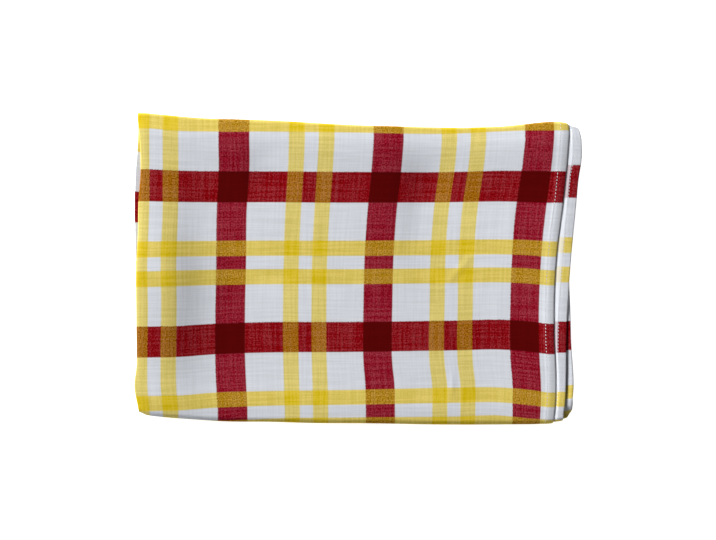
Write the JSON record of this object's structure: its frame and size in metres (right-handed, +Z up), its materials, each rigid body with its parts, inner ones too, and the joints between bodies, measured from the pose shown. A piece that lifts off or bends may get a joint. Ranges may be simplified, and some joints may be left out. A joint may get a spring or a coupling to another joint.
{
  "type": "folded tablecloth",
  "caption": "Hemmed cotton tablecloth with a red and yellow woven check on white, folded flat into a layered rectangular stack.",
  "frame": {"origin": "on the surface that the stack lies on, under the middle of the stack's box", "axes": "+X from the side fold towards the hems, +Y from the outer fold at the front towards the back, +Z up"},
  "size_m": [0.52, 0.3636, 0.0217],
  "materials": {
    "checked_cotton": "matte"
  },
  "bodies": {
    "root": {"tablecloth": "checked_cotton"}
  },
  "joints": []
}
